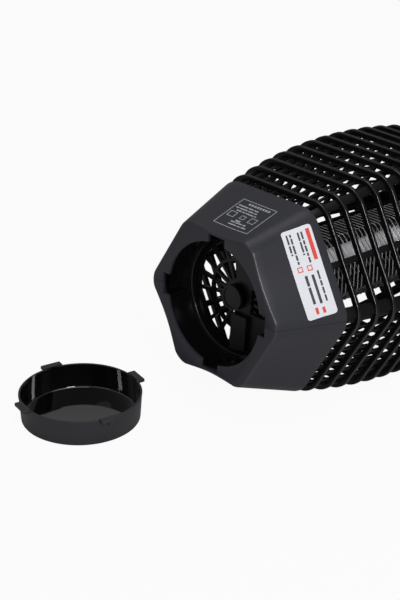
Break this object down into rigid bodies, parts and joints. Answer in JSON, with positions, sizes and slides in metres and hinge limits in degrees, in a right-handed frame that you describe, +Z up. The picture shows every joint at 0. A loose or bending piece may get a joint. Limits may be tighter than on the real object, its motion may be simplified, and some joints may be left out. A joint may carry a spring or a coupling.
{
  "type": "electric insect killer",
  "caption": "Barrel-shaped hexagonal cage round a wound wire grid and lamp, with a flared base, a hanging bail, and its round bayonet collection tray set down beside it.",
  "frame": {"origin": "middle of the underside of the collection tray, on the surface that both the tray and the body lie on", "axes": "+Z up; +X runs along the lying body from its mouth towards its cap; the tray stands to the +Y side of the body's axis"},
  "size_m": [0.4677, 0.2321, 0.1802],
  "materials": {
    "shell": "fine satin moulded plastic, charcoal black",
    "cage": "smooth moulded plastic, black, half gloss",
    "inner": "plain moulded plastic, black",
    "handle": "smooth moulded plastic, black",
    "gland": "soft black rubber",
    "insulator": "heat-resistant moulded plastic, black",
    "grid_wire": "bright drawn steel wire",
    "lamp_glass": "phosphor-coated lamp glass, grey-white",
    "lamp_metal": "spun aluminium end caps",
    "board": "green laminate",
    "laminations": "stacked steel laminations",
    "winding": "lacquered copper wire",
    "capacitor": "shrink-sleeved capacitors",
    "screw_steel": "zinc-plated steel",
    "label": "white gloss paper label",
    "tray": "moulded plastic, black, satin outside and glossy inside"
  },
  "bodies": {
    "housing": {"base_shell_upper": "shell", "base_shell_lower": "shell", "tray_socket": "inner", "floor_grille": "inner", "hub_cap": "inner", "wiring_cover": "inner", "cage_upper": "cage", "cage_lower": "cage", "cap_shell_upper": "shell", "cap_shell_lower": "shell", "top_deck": "inner", "bail_brackets": "inner", "cable_gland": "gland", "gland_nut": "inner", "grid_ring_lower": "insulator", "grid_ring_upper": "insulator", "grid_posts": "insulator", "hv_wire_a": "grid_wire", "hv_wire_b": "grid_wire", "lamp_shield": "insulator", "lamp_tube": "lamp_glass", "lamp_end_caps": "lamp_metal", "lamp_holder_lower": "insulator", "lamp_holder_upper": "insulator", "circuit_board": "board", "transformer_core": "laminations", "transformer_coil": "winding", "capacitors": "capacitor", "case_screws": "screw_steel", "rating_label": "label"},
    "bail": {"bail": "handle"},
    "tray": {"collection_tray": "tray"}
  },
  "joints": [
    {"name": "bail_swing", "type": "hinge", "parent": "housing", "child": "bail", "pos_m": [0.40703, -0.0796, 0.07788], "axis": [0, -1, 0], "range_deg": [-4, 176]},
    {"name": "tray_lift", "type": "slide", "parent": "housing", "child": "tray", "axis": [0, 0, 1], "range_m": [0, 0.12]}
  ]
}
